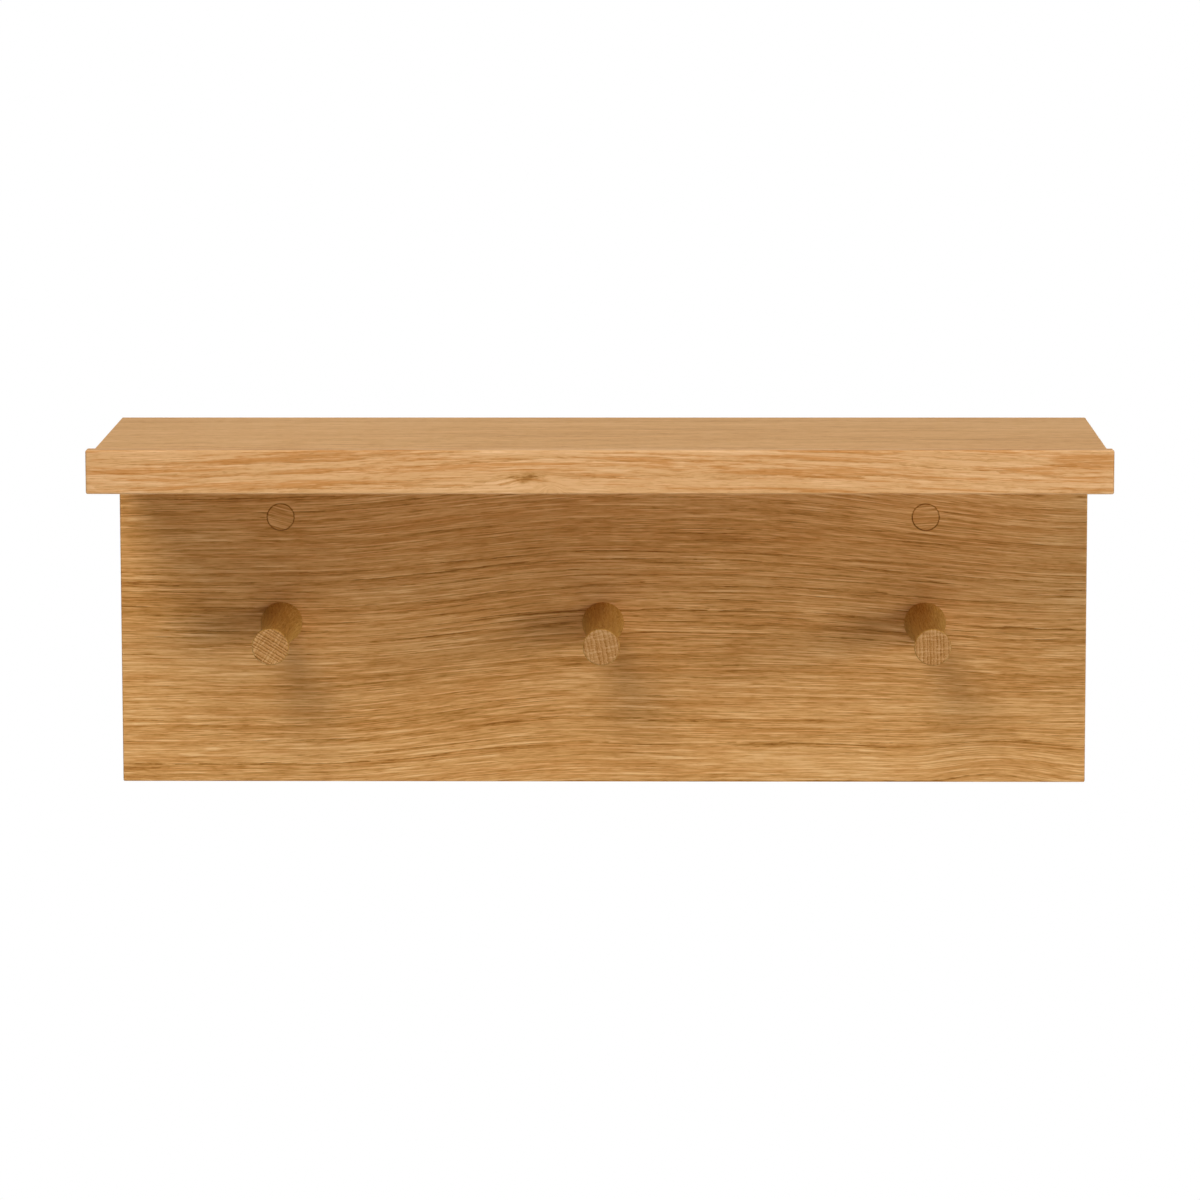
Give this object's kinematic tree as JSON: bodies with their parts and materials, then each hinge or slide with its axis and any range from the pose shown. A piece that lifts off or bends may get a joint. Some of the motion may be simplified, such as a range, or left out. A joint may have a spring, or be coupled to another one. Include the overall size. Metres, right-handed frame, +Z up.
{
  "type": "coat rack with shelf",
  "caption": "Wall coat rack of solid oak: a back panel with turned pegs below a shelf with a raised front lip, and pull-out plugs over the wall screws.",
  "frame": {"origin": "on the wall face of the back panel, midway between the two wall-screw holes", "axes": "+X along the rack's width to the right as seen from the room, +Y into the wall, +Z up"},
  "size_m": [0.6, 0.18, 0.232],
  "materials": {
    "oak_panel": "oiled oak, long grain along the width",
    "oak_shelf": "oiled oak, fine straight grain along the width",
    "oak_lip": "oiled oak, grain along the width",
    "oak_peg": "turned oak, oiled, grain along the peg",
    "oak_plug": "oiled oak, face grain",
    "beech_dowel": "bare beech",
    "zinc_plated_screw": "bright zinc plating"
  },
  "bodies": {
    "rack": {"back_panel": "oak_panel", "shelf_board": "oak_shelf", "front_lip": "oak_lip", "shelf_dowels": "beech_dowel", "peg_screws": "zinc_plated_screw", "left_peg": "oak_peg", "centre_peg": "oak_peg", "right_peg": "oak_peg"},
    "left_cover_plug": {"left_plug": "oak_plug"},
    "right_cover_plug": {"right_plug": "oak_plug"}
  },
  "joints": [
    {"name": "left_plug_pull", "type": "slide", "parent": "rack", "child": "left_cover_plug", "axis": [0, -1, 0], "range_m": [0, 0.025]},
    {"name": "right_plug_pull", "type": "slide", "parent": "rack", "child": "right_cover_plug", "axis": [0, -1, 0], "range_m": [0, 0.025]}
  ]
}
